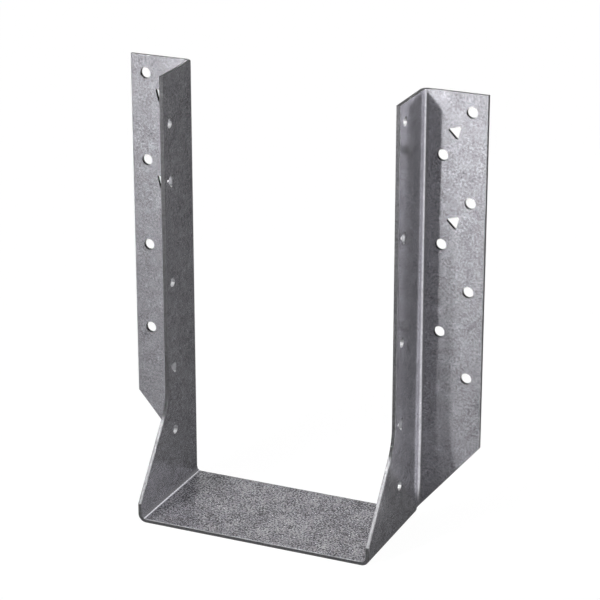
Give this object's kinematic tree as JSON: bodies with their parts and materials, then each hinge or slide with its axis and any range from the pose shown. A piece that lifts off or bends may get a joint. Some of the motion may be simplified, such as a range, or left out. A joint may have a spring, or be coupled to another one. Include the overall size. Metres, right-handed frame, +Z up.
{
  "type": "joist hanger",
  "caption": "Face-mount joist hanger folded from one sheet: a seat and side plates hold a joist end, and outward flanges with round and triangular holes nail to a header.",
  "frame": {"origin": "on the underside of the seat, midway between the side plates and midway between the header face and the toe of the seat", "axes": "+X across the joist, to the right as seen from the front; +Y from the joist towards the header beam; +Z up, along the side plates"},
  "size_m": [0.1856, 0.0652, 0.2189],
  "materials": {
    "galvanised_steel": "hot-dip galvanised sheet, light grey with a faint mottled spangle, half-gloss"
  },
  "bodies": {
    "root": {"joist_hanger": "galvanised_steel"}
  },
  "joints": []
}
